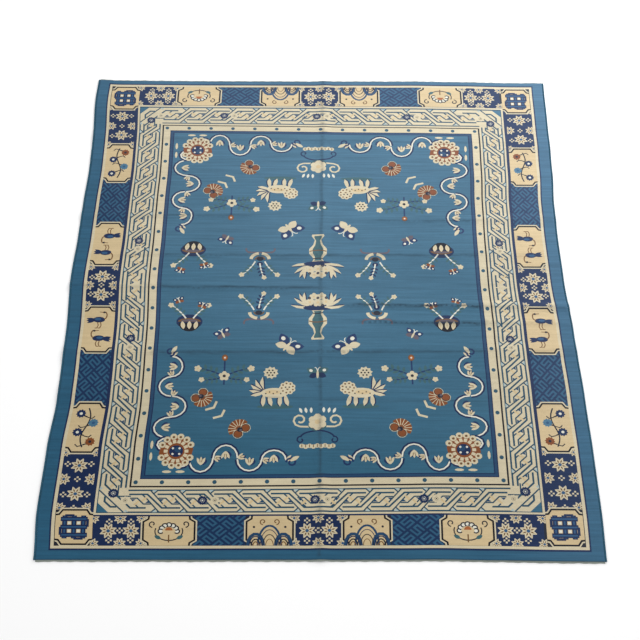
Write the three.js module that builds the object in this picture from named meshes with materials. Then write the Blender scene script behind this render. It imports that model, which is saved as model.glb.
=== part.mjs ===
// A hand-knotted wool rug about 2.5 m by 2.95 m, lying flat on a floor.
// Millimetres, +Z up. X runs across the rug, Y along its warps, and the origin is the middle of the
// space that the rug fills, on the floor. The rug is one thin sheet of knotted pile on a cotton ground.
// An overcast cord is sewn along each long side, and a narrow flat-woven web closes each end.
// The sheet lies as an old rug does: its sides bow in and out a little, and it keeps soft ridges where
// it used to be folded. Each piece is one closed solid, and the pieces lie GAP apart.

import * as THREE from 'three';

// ---------------------------------------------------------------- driving dimensions
const PILE_THICKNESS = 9;      // knotted ground and cut pile together
const PILE_SHOULDER = 8;       // width of the strip where the pile rounds down to the rug's edge
const SHOULDER_DROP = 3;       // how much lower the pile is at that edge
const CORD_WIDTH = 9;          // overcast side cord, across
const CORD_HEIGHT = 7;         // overcast side cord, above the floor
const CORD_SIDES = 8;
const WEB_DEPTH = 9;           // flat-woven end web, from the last row of knots to its worn edge
const WEB_THICKNESS = 2.4;
const WEB_FRAY = 1.6;          // how far the worn edge of a web wanders in and out
const GAP = 0.3;               // between sewn pieces
const GRID_STEP = 120;         // widest spacing of the sheet's grid
const GRID_MIN = 20;           // and the narrowest, but for the shoulders
const RIDGE_LINES = [-0.85, -0.3, 0.3, 0.85];  // grid lines over each ridge, in halves of its width

const COLOURS = { pile: 0x4379a0, cord: 0x2f5d73, web: 0xcfc8ae };

// How far each long side lies from the middle line, cord included, at stations along the rug.
const SIDES = [
  { y: 1482, left: 1240, right: 1245 },
  { y: 1327, left: 1244, right: 1242 },
  { y: 1000, left: 1229, right: 1237 },
  { y: 800, left: 1227, right: 1232 },
  { y: 560, left: 1234, right: 1219 },
  { y: 350, left: 1237, right: 1216 },
  { y: 80, left: 1246, right: 1219 },
  { y: -260, left: 1233, right: 1235 },
  { y: -640, left: 1232, right: 1247 },
  { y: -930, left: 1249, right: 1253 },
  { y: -1240, left: 1255, right: 1255 },
  { y: -1482, left: 1241, right: 1250 },
];

// How far each end lies from the middle, without its web, at stations across the rug.
const ENDS = [
  { x: -1260, far: 1474, near: 1476 },
  { x: -1120, far: 1467, near: 1475 },
  { x: -700, far: 1465, near: 1473 },
  { x: -100, far: 1467, near: 1470 },
  { x: 340, far: 1470, near: 1467 },
  { x: 520, far: 1472, near: 1465 },
  { x: 760, far: 1469, near: 1468 },
  { x: 1080, far: 1463, near: 1472 },
  { x: 1260, far: 1464, near: 1473 },
];

// Ridges that the rug keeps from being folded. A ridge that runs across the rug has its crest at y = at
// and reaches from x = from to x = to; one that runs along it has its crest at x = at. drift is how far
// the crest wanders off over a metre of its run.
const RIDGES = [
  { name: 'centre_fold', runs: 'along', at: 14, drift: 4, from: -1700, to: 1700, half: 55, height: 4.5 },
  { name: 'middle_left', runs: 'across', at: 18, drift: -4, from: -1500, to: 90, half: 45, height: 5.5 },
  { name: 'middle_right', runs: 'across', at: -88, drift: -8, from: 40, to: 1500, half: 42, height: 7.5 },
  { name: 'lower_right', runs: 'across', at: -188, drift: -6, from: 120, to: 1300, half: 38, height: 3.5 },
  { name: 'low_wave', runs: 'across', at: -373, drift: 12, from: -1500, to: 1500, half: 85, height: 6 },
  { name: 'near_wave', runs: 'across', at: -640, drift: -18, from: -1500, to: 900, half: 95, height: 4 },
  { name: 'upper_left', runs: 'across', at: 488, drift: 6, from: -1500, to: -250, half: 50, height: 4.5 },
  { name: 'upper_right', runs: 'across', at: 452, drift: 10, from: 180, to: 1500, half: 50, height: 4.5 },
  { name: 'bowl_wave', runs: 'across', at: 225, drift: 5, from: -1300, to: 1200, half: 60, height: 3 },
  { name: 'far_wave', runs: 'across', at: 1020, drift: -14, from: -1500, to: 1500, half: 90, height: 4 },
];
const RIDGE_FADE = 180;        // length over which a ridge runs out at its ends

// ---------------------------------------------------------------- the lie of the sheet
const smooth = (t) => t * t * (3 - 2 * t);
const clamp = (t) => Math.min(1, Math.max(0, t));

// Value of one column of a table at a place, eased from row to row.
function along(table, key, column, place) {
  const rows = [...table].sort((a, b) => a[key] - b[key]);
  const last = rows.length - 1;
  if (place <= rows[0][key]) return rows[0][column];
  if (place >= rows[last][key]) return rows[last][column];
  const i = rows.findIndex((row) => row[key] > place);
  const t = (place - rows[i - 1][key]) / (rows[i][key] - rows[i - 1][key]);
  return rows[i - 1][column] + smooth(t) * (rows[i][column] - rows[i - 1][column]);
}

// Height of the rug's underside above the floor.
function lift(x, y) {
  let height = 0;
  for (const ridge of RIDGES) {
    const [run, side] = ridge.runs === 'along' ? [y, x] : [x, y];
    const off = (side - ridge.at - (ridge.drift * run) / 1000) / ridge.half;
    if (Math.abs(off) >= 1) continue;
    const ends = clamp((run - ridge.from) / RIDGE_FADE) * clamp((ridge.to - run) / RIDGE_FADE);
    height = Math.max(height, ridge.height * smooth(ends) * (0.5 + 0.5 * Math.cos(Math.PI * off)));
  }
  return height;
}

// A point of the cloth, from its place across (s) and along (t) the rug as fractions from -1 to 1.
// inset moves the sides in, so that the cord and the sheet share one edge line.
function place(s, t, inset) {
  const flatX = 1245 * s;
  const y = t > 0 ? t * along(ENDS, 'x', 'far', flatX) : t * along(ENDS, 'x', 'near', flatX);
  const x = s * (along(SIDES, 'y', s > 0 ? 'right' : 'left', y) - inset);
  return [x, y];
}

// ---------------------------------------------------------------- grid lines
// Even steps from -1 to 1, with extra lines over the ridges that run the same way and at the shoulders.
function gridLines(halfSpan, ridges) {
  const lines = [];
  const count = Math.ceil((2 * halfSpan) / GRID_STEP);
  for (let i = 1; i < count; i += 1) lines.push(-halfSpan + (2 * halfSpan * i) / count);
  for (const ridge of ridges) {
    for (const k of RIDGE_LINES) lines.push(ridge.at + k * ridge.half);
  }
  lines.sort((a, b) => a - b);
  const kept = [-halfSpan];
  const shoulder = halfSpan - PILE_SHOULDER;
  for (const line of lines) {
    if (Math.abs(line) < shoulder - GRID_MIN && line - kept[kept.length - 1] > GRID_MIN) kept.push(line);
  }
  return [-halfSpan, -shoulder, ...kept.slice(1), shoulder, halfSpan].map((line) => line / halfSpan);
}

// ---------------------------------------------------------------- closed solids from rings and grids
function meshOf(name, positions, triangles, colour, roughness) {
  const geometry = new THREE.BufferGeometry();
  geometry.setAttribute('position', new THREE.Float32BufferAttribute(positions.flat(), 3));
  geometry.setIndex(triangles.flat());
  geometry.computeVertexNormals();
  const material = new THREE.MeshStandardMaterial({ color: colour, roughness, metalness: 0 });
  const mesh = new THREE.Mesh(geometry, material);
  mesh.name = name;
  return mesh;
}

// The knotted sheet: one grid for the pile's face, one for the back, and a wall round the edge.
function pileSheet() {
  const across = gridLines(1245, RIDGES.filter((ridge) => ridge.runs === 'along'));
  const lengthways = gridLines(1470, RIDGES.filter((ridge) => ridge.runs === 'across'));
  const columns = across.length;
  const rows = lengthways.length;
  const face = [];
  const back = [];
  lengthways.forEach((t, row) => {
    across.forEach((s, column) => {
      const [x, y] = place(s, t, CORD_WIDTH + GAP);
      const base = lift(x, y);
      const onEdge = row === 0 || column === 0 || row === rows - 1 || column === columns - 1;
      face.push([x, y, base + PILE_THICKNESS - (onEdge ? SHOULDER_DROP : 0)]);
      back.push([x, y, base]);
    });
  });
  const at = (row, column) => row * columns + column;
  const under = face.length;
  const triangles = [];
  const quad = (a, b, c, d) => triangles.push([a, b, c], [a, c, d]);
  for (let row = 0; row < rows - 1; row += 1) {
    for (let column = 0; column < columns - 1; column += 1) {
      const corners = [at(row, column), at(row, column + 1), at(row + 1, column + 1), at(row + 1, column)];
      quad(...corners);
      quad(...corners.map((corner) => corner + under).reverse());
    }
  }
  const rim = [];
  for (let column = 0; column < columns - 1; column += 1) rim.push(at(0, column));
  for (let row = 0; row < rows - 1; row += 1) rim.push(at(row, columns - 1));
  for (let column = columns - 1; column > 0; column -= 1) rim.push(at(rows - 1, column));
  for (let row = rows - 1; row > 0; row -= 1) rim.push(at(row, 0));
  rim.forEach((corner, i) => {
    const next = rim[(i + 1) % rim.length];
    quad(corner, corner + under, next + under, next);
  });
  return meshOf('pile_sheet', [...face, ...back], triangles, COLOURS.pile, 0.95);
}

// A bar of constant section laid from station to station: sections is a list of closed rings of points.
function barOf(name, sections, colour) {
  const size = sections[0].length;
  const triangles = [];
  for (let i = 0; i < sections.length - 1; i += 1) {
    for (let k = 0; k < size; k += 1) {
      const a = i * size + k;
      const b = i * size + ((k + 1) % size);
      triangles.push([a, b, b + size], [a, b + size, a + size]);
    }
  }
  const end = (sections.length - 1) * size;
  for (let k = 1; k < size - 1; k += 1) {
    triangles.push([0, k + 1, k], [end, end + k, end + k + 1]);
  }
  return meshOf(name, sections.flat(), triangles, colour, 0.9);
}

// Side cord: an upright, flat-sided oval that follows the sheet's edge. side is -1 at the left, 1 at the right.
function sideCord(name, side) {
  const stations = gridLines(1470, RIDGES.filter((ridge) => ridge.runs === 'across'));
  const sections = stations.map((t) => {
    const [edge, y] = place(side, t, CORD_WIDTH);
    const base = lift(edge, y);
    const ring = [];
    for (let k = 0; k < CORD_SIDES; k += 1) {
      const turn = -((k + 0.5) / CORD_SIDES) * 2 * Math.PI;
      const reach = 1 / Math.cos(Math.PI / CORD_SIDES);
      const out = (CORD_WIDTH / 2) * (1 + side * reach * Math.cos(turn));
      const up = (CORD_HEIGHT / 2) * (1 + reach * Math.sin(turn));
      ring.push([edge + side * out, y, base + up]);
    }
    return ring;
  });
  return barOf(name, sections, COLOURS.cord);
}

// End web: a thin strip along an end of the sheet with a worn outer edge. end is -1 near, 1 far.
function endWeb(name, end) {
  const stations = gridLines(1245, RIDGES.filter((ridge) => ridge.runs === 'along'));
  const sections = stations.map((s, i) => {
    const [x, edge] = place(s, end, CORD_WIDTH + GAP);
    const inner = edge + end * GAP;
    const outer = inner + end * (WEB_DEPTH + WEB_FRAY * Math.sin(i * 2.3) * Math.cos(i * 0.9));
    const base = lift(x, edge);
    const ring = [
      [x, inner, base],
      [x, outer, base],
      [x, outer, base + WEB_THICKNESS],
      [x, inner, base + WEB_THICKNESS],
    ];
    return end > 0 ? ring : ring.reverse();
  });
  return barOf(name, sections, COLOURS.web);
}

const rug = new THREE.Group();
rug.add(pileSheet());
rug.add(sideCord('side_cord_left', -1));
rug.add(sideCord('side_cord_right', 1));
rug.add(endWeb('end_web_near', -1));
rug.add(endWeb('end_web_far', 1));

// The origin is the middle of the whole rug on the floor.
const space = new THREE.Box3().setFromObject(rug);
rug.position.set(-(space.min.x + space.max.x) / 2, -(space.min.y + space.max.y) / 2, -space.min.z);

export default rug;
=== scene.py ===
import math

import bpy
import numpy as np
from mathutils import Matrix, Vector
from mathutils.geometry import delaunay_2d_cdt


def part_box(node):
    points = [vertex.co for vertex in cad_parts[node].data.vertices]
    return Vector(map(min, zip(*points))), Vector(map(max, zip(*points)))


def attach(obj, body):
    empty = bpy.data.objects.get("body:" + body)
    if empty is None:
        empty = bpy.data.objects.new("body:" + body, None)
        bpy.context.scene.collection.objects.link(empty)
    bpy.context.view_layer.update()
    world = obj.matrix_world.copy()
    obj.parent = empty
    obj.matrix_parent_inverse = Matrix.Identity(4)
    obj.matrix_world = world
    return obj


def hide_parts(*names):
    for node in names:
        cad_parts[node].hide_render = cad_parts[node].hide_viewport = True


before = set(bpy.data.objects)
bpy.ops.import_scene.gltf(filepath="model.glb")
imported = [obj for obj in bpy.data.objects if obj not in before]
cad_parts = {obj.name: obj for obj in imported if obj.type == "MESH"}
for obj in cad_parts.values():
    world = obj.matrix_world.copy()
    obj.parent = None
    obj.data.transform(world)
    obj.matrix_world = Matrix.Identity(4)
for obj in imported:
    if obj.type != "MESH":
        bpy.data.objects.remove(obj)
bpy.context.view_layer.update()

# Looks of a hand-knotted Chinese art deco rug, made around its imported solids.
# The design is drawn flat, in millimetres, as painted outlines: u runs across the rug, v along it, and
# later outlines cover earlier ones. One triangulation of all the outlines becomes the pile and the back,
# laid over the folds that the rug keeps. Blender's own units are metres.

MM = 0.001

# ------------------------------------------------------------------ sizes, as in the rug's solids (mm)
HALF_WIDTH = 1245              # of the flat design
HALF_LENGTH = 1470
PILE_THICKNESS = 9
PILE_SHOULDER = 8
SHOULDER_DROP = 3
CORD_WIDTH = 9
CORD_HEIGHT = 7
WEB_DEPTH = 9
WEB_THICKNESS = 2.4
WEB_FRAY = 1.6
GAP = 0.3
RIDGE_FADE = 180

# How far each long side lies from the middle line, cord included: y, left, right.
SIDES = np.array([
    (-1482, 1241, 1250), (-1240, 1255, 1255), (-930, 1249, 1253), (-640, 1232, 1247),
    (-260, 1233, 1235), (80, 1246, 1219), (350, 1237, 1216), (560, 1234, 1219),
    (800, 1227, 1232), (1000, 1229, 1237), (1327, 1244, 1242), (1482, 1240, 1245),
], float)

# How far each end lies from the middle, without its web: x, far, near.
ENDS = np.array([
    (-1260, 1474, 1476), (-1120, 1467, 1475), (-700, 1465, 1473), (-100, 1467, 1470), (340, 1470, 1467),
    (520, 1472, 1465), (760, 1469, 1468), (1080, 1463, 1472), (1260, 1464, 1473),
], float)

# Ridges kept from being folded: runs, crest at, drift per metre, from, to, half width, height, and how dark
# the painted shade along the crest is.
RIDGES = [
    ("along", 14, 4, -1700, 1700, 55, 4.5, 0.55),
    ("across", 18, -4, -1500, 90, 45, 5.5, 0.75),
    ("across", -88, -8, 40, 1500, 42, 7.5, 1.00),
    ("across", -188, -6, 120, 1300, 38, 3.5, 0.90),
    ("across", -373, 12, -1500, 1500, 85, 6.0, 0.65),
    ("across", -640, -18, -1500, 900, 95, 4.0, 0.25),
    ("across", 488, 6, -1500, -250, 50, 4.5, 0.50),
    ("across", 452, 10, 180, 1500, 50, 4.5, 0.50),
    ("across", 225, 5, -1300, 1200, 60, 3.0, 0.50),
    ("across", 1020, -14, -1500, 1500, 90, 4.0, 0.25),
]
RIDGE_ROWS = (-0.8, -0.5, -0.25, -0.1, 0.0, 0.1, 0.25, 0.5, 0.8)   # points over a ridge, in halves
CREASE_WIDTH = 7               # of the painted shade line along a crest
BORDER_SHADE = 0.3              # how much of the painted shade shows on the borders
SHADE_REACH, SHADE_FALLOFF = 840, 60        # where the painted shade has sunk to that, and over what width it sinks


# ------------------------------------------------------------------ the lie of the sheet
def smooth(t):
    return t * t * (3 - 2 * t)


def along(table, column, place):
    """One column of a table at each place, eased from row to row."""
    keys, values = table[:, 0], table[:, column]
    spot = np.clip(place, keys[0], keys[-1])
    row = np.clip(np.searchsorted(keys, spot, side="right") - 1, 0, len(keys) - 2)
    t = (spot - keys[row]) / (keys[row + 1] - keys[row])
    return values[row] + smooth(t) * (values[row + 1] - values[row])


def ridge_share(ridge, x, y):
    """How far each place is into a ridge: its distance from the crest in mm, and its fade to the ends."""
    runs, crest, drift, start, stop = ridge[:5]
    run, side = (y, x) if runs == "along" else (x, y)
    ends = np.clip((run - start) / RIDGE_FADE, 0, 1) * np.clip((stop - run) / RIDGE_FADE, 0, 1)
    return side - crest - drift * run / 1000, smooth(ends)


def lift(x, y):
    """Height of the rug's underside above the floor."""
    height = np.zeros_like(x)
    for ridge in RIDGES:
        off, ends = ridge_share(ridge, x, y)
        half, top = ridge[5], ridge[6]
        hump = np.where(np.abs(off) < half, 0.5 + 0.5 * np.cos(math.pi * off / half), 0)
        height = np.maximum(height, top * ends * hump)
    return height


def painted_crease_shade(x, y):
    """How much painted shade darkens the wool along the creases, from 0 to 1."""
    dark = np.zeros_like(x)
    for ridge in RIDGES:
        off, ends = ridge_share(ridge, x, y)
        wander = 2.5 * np.sin(x / 61 + ridge[1]) + 1.5 * np.sin(y / 47) + 1.5 * np.sin(x / 17)
        dark = np.maximum(dark, ridge[7] * ends * np.exp(-(((off + 6 + wander) / CREASE_WIDTH) ** 2)))
    return dark * np.clip((SHADE_REACH - np.abs(x)) / SHADE_FALLOFF, BORDER_SHADE, 1)


# Partly real fading and partly painted light and bluish sheen: how much lighter and hazier the wool is made,
# 0 for none, about 1
# where it is palest. Rows: v, then how far at the left edge, at the field's left, middle and right, and at
# the right edge.
FADE_LIGHT_SHEEN_PLACES = (-1215, -700, 0, 700, 1215)
FADE_LIGHT_SHEEN = np.array([
    (-1470, 0.00, 0.00, 0.04, 0.12, 0.42), (-1050, 0.00, 0.00, 0.06, 0.14, 0.48),
    (-500, 0.03, 0.18, 0.34, 0.32, 0.62), (0, 0.08, 0.42, 0.64, 0.54, 0.78),
    (500, 0.18, 0.62, 0.78, 0.72, 0.92), (1050, 0.30, 0.72, 0.84, 0.88, 1.06),
    (1470, 0.42, 0.74, 0.84, 1.00, 1.20),
], float)


# Partly real fading, partly painted light and sheen, growing towards the far right.
def fade_light_and_sheen(u, v):
    columns = np.stack([along(FADE_LIGHT_SHEEN, k + 1, v) for k in range(len(FADE_LIGHT_SHEEN_PLACES))])
    spot = np.clip(u, FADE_LIGHT_SHEEN_PLACES[0], FADE_LIGHT_SHEEN_PLACES[-1])
    k = np.clip(np.searchsorted(FADE_LIGHT_SHEEN_PLACES, spot, side="right") - 1, 0, len(FADE_LIGHT_SHEEN_PLACES) - 2)
    low, high = np.take(FADE_LIGHT_SHEEN_PLACES, k), np.take(FADE_LIGHT_SHEEN_PLACES, k + 1)
    t = smooth((spot - low) / (high - low))
    pick = np.arange(len(u))
    return columns[k, pick] * (1 - t) + columns[k + 1, pick] * t


def place(u, v, inset):
    """Where a point of the flat design lies, with the sides moved in by inset."""
    y = v / HALF_LENGTH * np.where(v > 0, along(ENDS, 1, u), along(ENDS, 2, u))
    x = u / HALF_WIDTH * (np.where(u > 0, along(SIDES, 2, y), along(SIDES, 1, y)) - inset)
    return x, y


EDGE_SAMPLES = 2001            # along each edge, to find the design's own box


def middle_of_solids():
    """The design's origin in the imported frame, in mm, from the sheet's own box."""
    low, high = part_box("pile_sheet")
    run = np.linspace(-1, 1, EDGE_SAMPLES)
    both_sides = np.repeat([-HALF_WIDTH, HALF_WIDTH], EDGE_SAMPLES)
    both_ends = np.repeat([-HALF_LENGTH, HALF_LENGTH], EDGE_SAMPLES)
    side = place(both_sides, np.tile(run * HALF_LENGTH, 2), CORD_WIDTH + GAP)[0]
    end = place(np.tile(run * HALF_WIDTH, 2), both_ends, CORD_WIDTH + GAP)[1]
    return np.array([
        (low.x + high.x) / 2 / MM - (side.min() + side.max()) / 2,
        (low.y + high.y) / 2 / MM - (end.min() + end.max()) / 2,
    ])


MIDDLE = middle_of_solids()


def to_metres(x, y, z):
    return np.stack([(x + MIDDLE[0]) * MM, (y + MIDDLE[1]) * MM, z * MM], axis=-1)


# ------------------------------------------------------------------ the design's own unevenness
# The borders sway in and out as they were woven: how far (mm), and over what run.
SIDE_SWAY, SIDE_RUN, SIDES_APART = 10, 800, 0.3
END_SWAY, END_RUN = 8, 640
SIDE_GUARD, SIDE_HEM = 860, 1187       # where the sway is full, and where it has run out
END_GUARD, END_HEM = 1112, 1430


def wander(u, v):
    """Moves design points by the unevenness of the borders."""
    def share(distance, full, none):
        return np.minimum(distance / full, np.clip((none - distance) / (none - full), 0, 1))
    out_u = SIDE_SWAY * np.sin(v / SIDE_RUN + SIDES_APART * np.sign(u))
    out_v = -END_SWAY * np.sin(u / END_RUN)
    return (u + np.sign(u) * out_u * share(np.abs(u), SIDE_GUARD, SIDE_HEM),
            v + np.sign(v) * out_v * share(np.abs(v), END_GUARD, END_HEM))


# ------------------------------------------------------------------ dyes: colour and how much it streaks
DYES = {
    "blue": (0x28556C, 1.0),
    "edge": (0x22506A, 1.0),
    "deep": (0x193A58, 0.6),
    "shade": (0x122A50, 0.5),
    "navy": (0x0E2144, 0.4),
    "ink": (0x1C1E26, 0.3),
    "black": (0x100F13, 0.2),
    "cream": (0xBBB094, 0.35),
    "pale": (0xC8C6B8, 0.3),
    "tan": (0xBAA680, 0.35),
    "rust": (0x74401C, 0.3),
    "orange": (0x96562C, 0.3),
    "brown": (0x644626, 0.3),
    "mauve": (0x564E56, 0.3),
    "teal": (0x24485A, 0.5),
    "leaf": (0x33555A, 0.5),
    "sky": (0x3C647C, 0.7),
    "fret": (0x1F4052, 0.6),
    "sky_pale": (0x96A6A6, 0.4),
    "lattice": (0x244E69, 0.6),
    "ground": (0x0A2648, 0.6),
    "steel": (0x264A6C, 0.5),
}
DYE_NAMES = list(DYES)


def linear(code):
    """Scene-linear colour of an sRGB hex code."""
    parts = [((code >> shift) & 255) / 255 for shift in (16, 8, 0)]
    return tuple(c / 12.92 if c <= 0.04045 else ((c + 0.055) / 1.055) ** 2.4 for c in parts)


# ------------------------------------------------------------------ drawing
THINNEST = 0.4                 # area over outline's length, below which nothing is drawn (mm)
drawn = []                     # (outline in design mm, dye's number), in painting order


def clipped(points, clip):
    """A polygon cut down to a rectangle (low u, low v, high u, high v)."""
    for axis, limit, sign in ((0, clip[0], 1), (1, clip[1], 1), (0, clip[2], -1), (1, clip[3], -1)):
        kept = []
        for a, b in zip(points, points[1:] + points[:1]):
            inside_a, inside_b = (sign * (p[axis] - limit) >= 0 for p in (a, b))
            if inside_a:
                kept.append(a)
            if inside_a != inside_b:
                t = (limit - a[axis]) / (b[axis] - a[axis])
                kept.append((a[0] + t * (b[0] - a[0]), a[1] + t * (b[1] - a[1])))
        points = kept
        if len(points) < 3:
            return []
    return points


class Pen:
    """Draws in its own units. across and along are its axes as design vectors, so it may be mirrored."""

    def __init__(self, origin=(0, 0), across=(1, 0), along=(0, 1), clip=None):
        self.origin = np.array(origin, float)
        self.axes = np.array([across, along], float)
        self.clip = clip

    def at(self, x, y, turn=0, size=1, flip=1):
        """A pen at (x, y), turned by degrees, scaled, and mirrored where flip is -1."""
        c, s = math.cos(math.radians(turn)) * size, math.sin(math.radians(turn)) * size
        right, up = self.axes
        across, along = flip * (c * right + s * up), c * up - s * right
        return Pen(self.origin + (x, y) @ self.axes, across, along, self.clip)

    def within(self, x0, y0, x1, y1):
        """The same pen, kept inside a rectangle in its own units."""
        a, b = (self.origin + np.array(p) @ self.axes for p in ((x0, y0), (x1, y1)))
        low, high = np.minimum(a, b), np.maximum(a, b)
        return Pen(self.origin, *self.axes, (*low, *high))

    def fill(self, points, dye):
        outline = [tuple(p) for p in self.origin + np.array(points, float) @ self.axes]
        if self.clip:
            outline = clipped(outline, self.clip)
        around = list(zip(outline, outline[1:] + outline[:1]))
        area = sum(a[0] * b[1] - b[0] * a[1] for a, b in around) / 2
        if abs(area) > THINNEST * sum(math.dist(a, b) for a, b in around):
            drawn.append((outline if area > 0 else outline[::-1], DYE_NAMES.index(dye)))

    def box(self, x0, y0, x1, y1, dye):
        self.fill([(x0, y0), (x1, y0), (x1, y1), (x0, y1)], dye)

    def disc(self, x, y, rx, ry, dye, sides=8, lobe=0.0):
        """An oval with flat facets; lobe draws in every second point, for a scalloped rim."""
        ring = []
        for k in range(sides):
            turn = (k + 0.5) * 2 * math.pi / sides
            reach = 1 - lobe * (k % 2)
            ring.append((x + rx * reach * math.cos(turn), y + ry * reach * math.sin(turn)))
        self.fill(ring, dye)

    def line(self, points, width, dye, shift=0, closed=False, ends=(1, 1)):
        """A band along points. shift moves it to its left; ends are the shares of width kept at its ends."""
        path = np.array(points, float)
        count = len(path)
        step = np.diff(np.vstack([path, path[:1]]) if closed else path, axis=0)
        step = step / np.maximum(np.linalg.norm(step, axis=1), 1e-6)[:, None]
        normal = np.stack([-step[:, 1], step[:, 0]], axis=1)
        before = np.vstack([normal[-1:] if closed else normal[:1], normal])[:count]
        after = normal if closed else np.vstack([normal, normal[-1:]])
        mitre = before + after
        mitre /= np.maximum((mitre * before).sum(axis=1), 0.6)[:, None]
        share = np.ones(count)
        if not closed:
            run = np.linspace(0, 1, count)
            share = np.minimum(1, np.minimum(ends[0] + 3 * run, ends[1] + 3 * (1 - run)))
        left = path + mitre * (shift + width / 2 * share)[:, None]
        right = path + mitre * (shift - width / 2 * share)[:, None]
        for i in range(count if closed else count - 1):
            j = (i + 1) % count
            self.fill([left[i], right[i], right[j], left[j]], dye)


def mirrored(origin):
    """Four pens at one origin that draw outwards into the four quarters, with their signs."""
    for end in (-1, 1):
        for side in (-1, 1):
            yield Pen(origin, (side, 0), (0, end)), side, end


def arc(x, y, rx, ry, start, end, count=7):
    """Points of an oval from start to end, in degrees from its right."""
    turns = np.radians(np.linspace(start, end, count))
    return [(x + rx * math.cos(t), y + ry * math.sin(t)) for t in turns]


def coil(x, y, r, start, sweep, count=11):
    """Points of a scroll that winds in to a third of its size."""
    shares = np.linspace(0, 1, count)
    return [arc(x, y, r * (1 - 0.67 * t), r * (1 - 0.67 * t), start + sweep * t, 0, 1)[0] for t in shares]


def leaf(pen, x, y, turn, length, width, dye="leaf", vein=None):
    """A pointed leaf that grows from (x, y), turned to the left by degrees."""
    blade = pen.at(x, y, turn)
    rim = [(width / 2 * math.sin(math.pi * t) ** 0.8, length * t) for t in (0.12, 0.3, 0.5, 0.7, 0.88)]
    blade.fill([(0, 0)] + rim + [(0, length)] + [(-a, b) for a, b in rim[::-1]], dye)
    if vein:
        blade.line([(0, 0.2 * length), (0, 0.8 * length)], 5, vein)


def blossom(pen, x, y, r, petals="cream", heart="tan", count=5):
    """A round flower of separate petals."""
    for k in range(count):
        spot = arc(x, y, 0.6 * r, 0.6 * r, 90 + 360 * k / count, 0, 1)[0]
        pen.disc(*spot, 0.44 * r, 0.44 * r, petals, 8)
    pen.disc(x, y, 0.32 * r, 0.32 * r, heart, 6)


# ------------------------------------------------------------------ borders, from the edge inwards
# Dye, and how far in it begins from the sides, the far end and the near end.
BANDS = [
    ("edge", 0, 0, 0), ("navy", 55, 26, 42), ("cream", 62, 34, 51), ("ink", 76, 48, 64),
    ("navy", 224, 193, 208), ("cream", 239, 196, 219), ("fret", 249, 207, 228), ("cream", 257, 215, 236),
    ("fret", 362, 330, 341), ("cream", 370, 337, 349), ("black", 381, 348, 360), ("cream", 389, 354, 368),
    ("navy", 425, 390, 402), ("deep", 430, 395, 407), ("navy", 442, 406, 419), ("blue", 447, 410, 423),
]
FIELD_SIDE, FIELD_FAR, FIELD_NEAR = 798, 1060, 1047
PANEL_MIDDLE, PANEL_HALF = 1095, 74    # of the panels along the sides
END_HALF = 73
SIDE_MIRROR, END_MIRROR = 21, 8.5      # where the near half turns into the far half
CROSS_MIRROR = -5                      # where the left half turns into the right half
DOT_SIDE, DOT_FAR, DOT_NEAR = 838, 1098, 1084
DOTS_ALONG, DOTS_ACROSS = 19, 15
# Pairs of stars on the end frets, a dark one and a light one: their middles across and along the rug.
FRET_STARS = [(u, v) for v in (-1178, 1197) for u in (-500, 8, 500)]
STAR_APART = 28


def quarters(middle_u, middle_v):
    """Pens for the four quarters. Each takes near-left design coordinates."""
    for side in (1, -1):
        for end in (1, -1):
            yield Pen((middle_u * (1 - side), middle_v * (1 - end)), (side, 0), (0, end))


def star(pen, x, y, r):
    """An eight-petalled star of cream kites round a blue-grey eye."""
    for k in range(8):
        petal = pen.at(x, y, 45 * k + 22.5)
        kite = [(0, 0), (0.24, 0.58), (0.05, 1), (-0.05, 1), (-0.24, 0.58)]
        petal.fill([(a * r, b * r) for a, b in kite], "cream")
        petal.fill([(0, 0.2 * r), (0.09 * r, 0.45 * r), (0, 0.75 * r), (-0.09 * r, 0.45 * r)], "brown")
    pen.disc(x, y, 0.22 * r, 0.22 * r, "steel")


def diamond(pen, x, y, r=13, dye="cream"):
    for dx, dy in ((0, r), (r, 0), (0, -r), (-r, 0)):
        pen.disc(x + 0.75 * dx, y + 0.75 * dy, 0.46 * r, 0.46 * r, dye, 4)


def small_star(pen, x, y, r, dye, eye):
    """A round flower of many points, with spokes about its eye."""
    pen.disc(x, y, r, r, dye, 24, 0.16)
    pen.disc(x, y, 0.55 * r, 0.55 * r, eye, 20, 0.6)
    pen.disc(x, y, 0.3 * r, 0.3 * r, dye, 8)
    pen.disc(x, y, 0.16 * r, 0.16 * r, eye, 6)


def cartouche(pen, length, width):
    """A cream panel whose ends step in at the corners. length and width are half its size."""
    kept = pen.within(-length - 14, -width, length + 14, width)
    for grow, dye in ((11, "cream"), (4.5, "black"), (-4, "tan")):
        half = [(length - 24, width), (length - 22, width - 14), (length, width - 28)]
        half = [(x + grow, y + (0 if y == width else 0.5 * grow)) for x, y in half]
        ring = half[::-1] + [(-x, y) for x, y in half]
        kept.fill(ring + [(x, -y) for x, y in ring[::-1]], dye)


LATTICE_PITCH, LATTICE_BAR = 19, 9


def lattice_panel(pen, length, width):
    """Blue basket fret: slanting cells of three bars joined end to end, each turned across its neighbours."""
    kept = pen.within(-length, -width, length, width)
    kept.box(-length, -width, length, width, "ground")
    slant = Pen(kept.origin, 1.08 * kept.axes[0], 0.92 * kept.axes[1], kept.clip).at(0, 0, 45)
    side = 3 * LATTICE_PITCH
    reach = side / 2 - LATTICE_BAR / 2 - 1
    count = int((length + width) / side) + 1
    for i in range(-count, count + 1):
        for j in range(-count, count + 1):
            cell = slant.at(i * side, j * side, 90 * ((i + j) % 2))
            for step in (-1, 0, 1):
                y = step * LATTICE_PITCH
                cell.box(-reach, y - LATTICE_BAR / 2, reach, y + LATTICE_BAR / 2, "lattice")
            for end in (-1, 1):
                x = end * (reach - LATTICE_BAR / 2)
                cell.line([(x, 0), (x, end * LATTICE_PITCH)], LATTICE_BAR, "lattice")


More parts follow.
